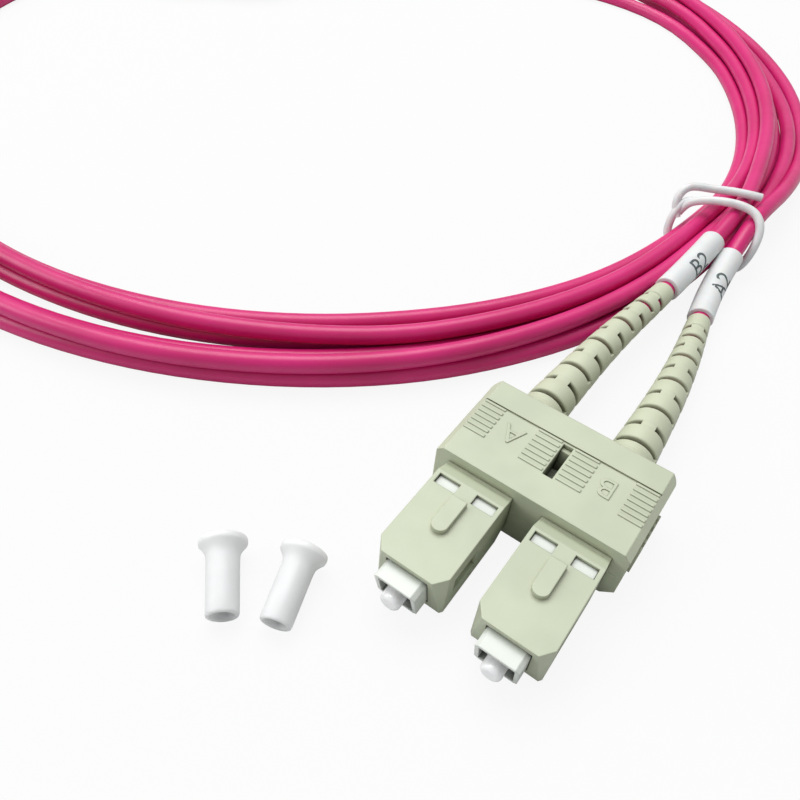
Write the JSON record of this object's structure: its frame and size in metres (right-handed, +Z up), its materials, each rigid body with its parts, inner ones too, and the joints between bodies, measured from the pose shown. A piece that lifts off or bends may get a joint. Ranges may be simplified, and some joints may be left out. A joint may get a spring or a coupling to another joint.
{
  "type": "fibre optic patch cable",
  "caption": "Coiled duplex fibre optic patch cable with push-pull duplex connectors, slotted boots, marker sleeves, a wire tie and ferrule dust caps.",
  "frame": {"origin": "midway between the two plugs of the near connector, on their axes, in the plane of the housings' front faces", "axes": "+Y runs back from the near plugs' faces to their boots, +Z is up from the floor that the clips and the coil lie on, +X is to the plug marked B"},
  "size_m": [0.2022, 0.2182, 0.0103],
  "materials": {
    "beige_plastic": "fine satin moulding",
    "white_plastic": "satin moulding",
    "ceramic": "polished zirconia ceramic",
    "nickel": "nickel plated, turned",
    "steel": "plain",
    "beige_rubber": "soft satin moulding",
    "sleeve_white": "matt tube",
    "cord_magenta": "semi-gloss jacket",
    "tie_white": "glossy coating on wire",
    "cap_clear": "milky, translucent"
  },
  "bodies": {
    "cable": {"near_plug_frame_a": "white_plastic", "near_plug_frame_b": "white_plastic", "near_spring_a": "steel", "near_spring_b": "steel", "near_stop_a": "nickel", "near_stop_b": "nickel", "near_crimp_ring_a": "steel", "near_crimp_ring_b": "steel", "near_boot_a": "beige_rubber", "near_boot_b": "beige_rubber", "near_marker_sleeve_a": "sleeve_white", "near_marker_sleeve_b": "sleeve_white", "near_lead_a": "cord_magenta", "near_lead_b": "cord_magenta", "far_plug_frame_a": "white_plastic", "far_plug_frame_b": "white_plastic", "far_spring_a": "steel", "far_spring_b": "steel", "far_stop_a": "nickel", "far_stop_b": "nickel", "far_crimp_ring_a": "steel", "far_crimp_ring_b": "steel", "far_boot_a": "beige_rubber", "far_boot_b": "beige_rubber", "far_marker_sleeve_a": "sleeve_white", "far_marker_sleeve_b": "sleeve_white", "far_lead_a": "cord_magenta", "far_lead_b": "cord_magenta", "cord_coil": "cord_magenta", "twist_tie": "tie_white", "dust_cap_a": "cap_clear", "dust_cap_b": "cap_clear"},
    "near_grip": {"near_clip_top": "beige_plastic", "near_clip_bottom": "beige_plastic", "near_housing_a": "beige_plastic", "near_housing_b": "beige_plastic"},
    "near_tip_a": {"near_ferrule_a": "ceramic", "near_ferrule_flange_a": "nickel"},
    "near_tip_b": {"near_ferrule_b": "ceramic", "near_ferrule_flange_b": "nickel"},
    "far_grip": {"far_clip_top": "beige_plastic", "far_clip_bottom": "beige_plastic", "far_housing_a": "beige_plastic", "far_housing_b": "beige_plastic"},
    "far_tip_a": {"far_ferrule_a": "ceramic", "far_ferrule_flange_a": "nickel"},
    "far_tip_b": {"far_ferrule_b": "ceramic", "far_ferrule_flange_b": "nickel"}
  },
  "joints": [
    {"name": "near_release", "type": "slide", "parent": "cable", "child": "near_grip", "axis": [0, 1, 0], "range_m": [0, 0.002]},
    {"name": "near_ferrule_float_a", "type": "slide", "parent": "cable", "child": "near_tip_a", "axis": [0, 1, 0], "range_m": [0, 0.001], "stiffness_N_per_m": 5000, "springref_m": -0.0015, "deforming": ["near_spring_a"]},
    {"name": "near_ferrule_float_b", "type": "slide", "parent": "cable", "child": "near_tip_b", "axis": [0, 1, 0], "range_m": [0, 0.001], "stiffness_N_per_m": 5000, "springref_m": -0.0015, "deforming": ["near_spring_b"]},
    {"name": "far_release", "type": "slide", "parent": "cable", "child": "far_grip", "axis": [0.7071, 0.7071, 0], "range_m": [0, 0.002]},
    {"name": "far_ferrule_float_a", "type": "slide", "parent": "cable", "child": "far_tip_a", "axis": [0.7071, 0.7071, 0], "range_m": [0, 0.001], "stiffness_N_per_m": 5000, "springref_m": -0.0015, "deforming": ["far_spring_a"]},
    {"name": "far_ferrule_float_b", "type": "slide", "parent": "cable", "child": "far_tip_b", "axis": [0.7071, 0.7071, 0], "range_m": [0, 0.001], "stiffness_N_per_m": 5000, "springref_m": -0.0015, "deforming": ["far_spring_b"]}
  ]
}
